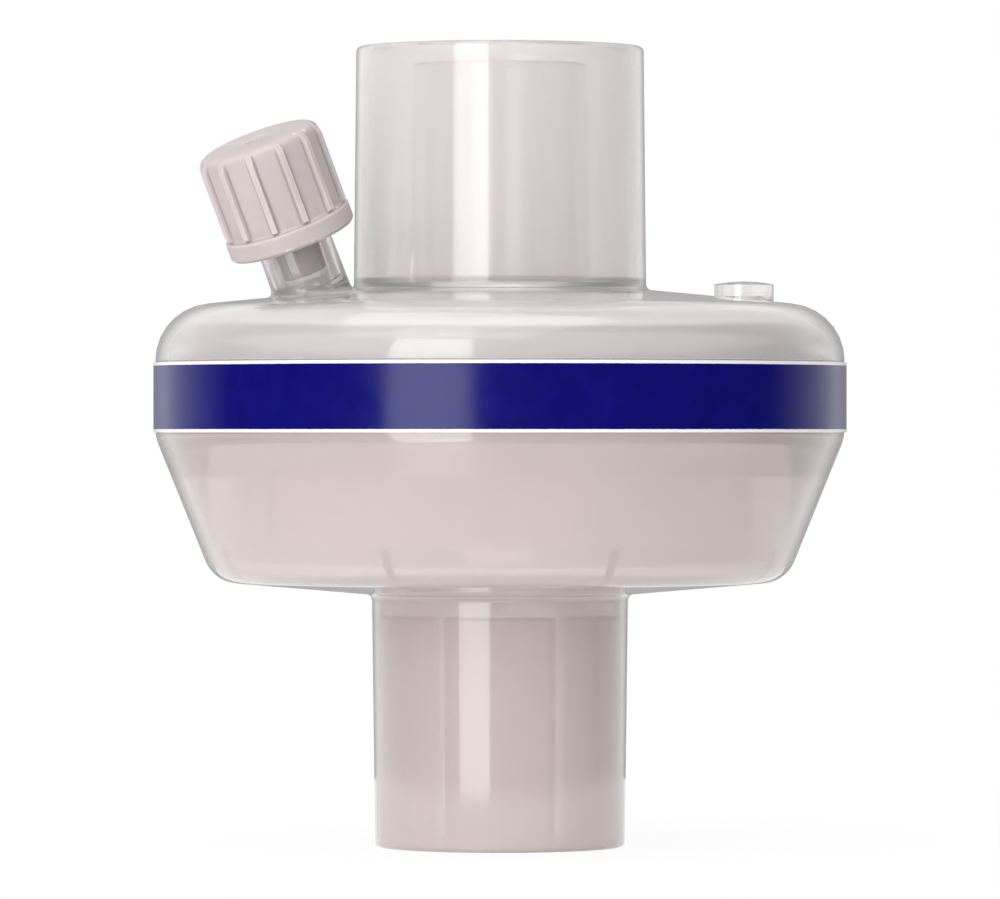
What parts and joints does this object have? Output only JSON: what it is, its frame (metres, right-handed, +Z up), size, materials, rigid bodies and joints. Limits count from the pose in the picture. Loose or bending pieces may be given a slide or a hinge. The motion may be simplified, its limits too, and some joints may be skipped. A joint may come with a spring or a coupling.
{
  "type": "breathing circuit filter",
  "caption": "Clear round breathing filter with a felt pad and wound paper roll, coaxial conical ports at top and bottom, and a capped gas sampling port.",
  "frame": {"origin": "centre of the lower port's rim, on which the filter stands", "axes": "+Z up along the filter's axis towards the upper port, -Y towards the front, +X to the right seen from the front"},
  "size_m": [0.0608, 0.0608, 0.0701],
  "materials": {
    "clear_plastic": "clear moulded plastic, glossy",
    "frosted_plastic": "clear moulded plastic, lightly frosted outside",
    "felt": "white felted fibre",
    "roll_paper": "matt cream paper",
    "cap_plastic": "satin off-white plastic",
    "label_film": "printed blue film with thin white edges"
  },
  "bodies": {
    "housing": {"upper_housing": "clear_plastic", "lower_housing": "frosted_plastic", "filter_pad": "felt", "paper_roll": "roll_paper", "label_band": "label_film"},
    "cap": {"luer_cap": "cap_plastic"}
  },
  "joints": [
    {"name": "cap_lift", "type": "slide", "parent": "housing", "child": "cap", "axis": [-0.3354, -0.2096, 0.9184], "range_m": [0, 0.012]}
  ]
}
